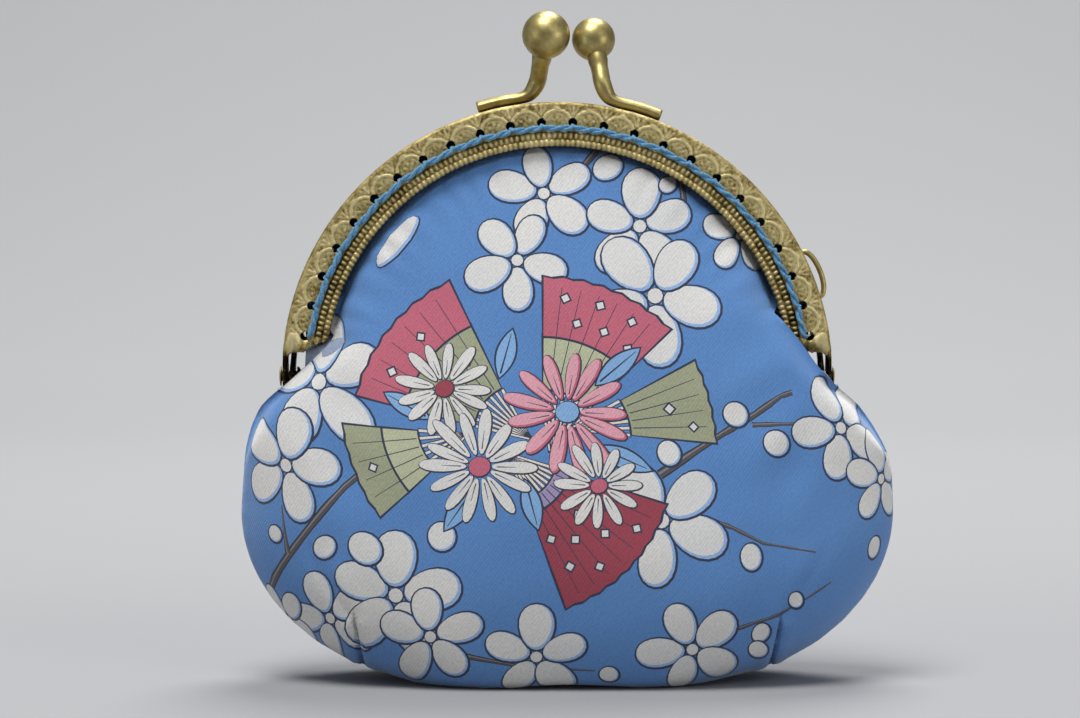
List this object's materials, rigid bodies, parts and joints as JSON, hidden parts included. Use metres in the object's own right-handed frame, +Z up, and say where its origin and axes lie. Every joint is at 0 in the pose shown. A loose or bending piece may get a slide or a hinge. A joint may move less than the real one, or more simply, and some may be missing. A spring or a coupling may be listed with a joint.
{
  "type": "clasp coin purse",
  "caption": "Round-bottomed cloth coin purse on an arched antique-brass sew-on frame that shuts with two crossed ball arms.",
  "frame": {"origin": "on the surface that the purse stands on, under the middle of its bounding box", "axes": "+Z up, +X to the right seen from the front, +Y from the front of the purse to its back"},
  "size_m": [0.1012, 0.036, 0.1034],
  "materials": {
    "brass": "antique brass plating, dark in the recesses and rubbed bright on the ridges",
    "printed_cloth": "matt printed cotton with a fine crepe weave",
    "lining_cloth": "matt plain cotton",
    "thread": "matt twisted sewing thread"
  },
  "bodies": {
    "rear_half_and_pouch": {"rear_frame": "brass", "rear_clasp_arm": "brass", "rear_clasp_ball": "brass", "rear_stitch_thread": "thread", "hinge_rivet_left": "brass", "hinge_rivet_right": "brass", "chain_loop": "brass", "outer_front_panel": "printed_cloth", "outer_rear_panel": "printed_cloth", "lining_front_panel": "lining_cloth", "lining_rear_panel": "lining_cloth"},
    "front_half": {"front_frame": "brass", "front_clasp_arm": "brass", "front_clasp_ball": "brass", "front_stitch_thread": "thread"}
  },
  "joints": [
    {"name": "frame_hinge", "type": "hinge", "parent": "rear_half_and_pouch", "child": "front_half", "pos_m": [0, 0, 0.047], "axis": [1, 0, 0], "range_deg": [0, 90], "deforming": ["outer_front_panel", "lining_front_panel"]}
  ]
}
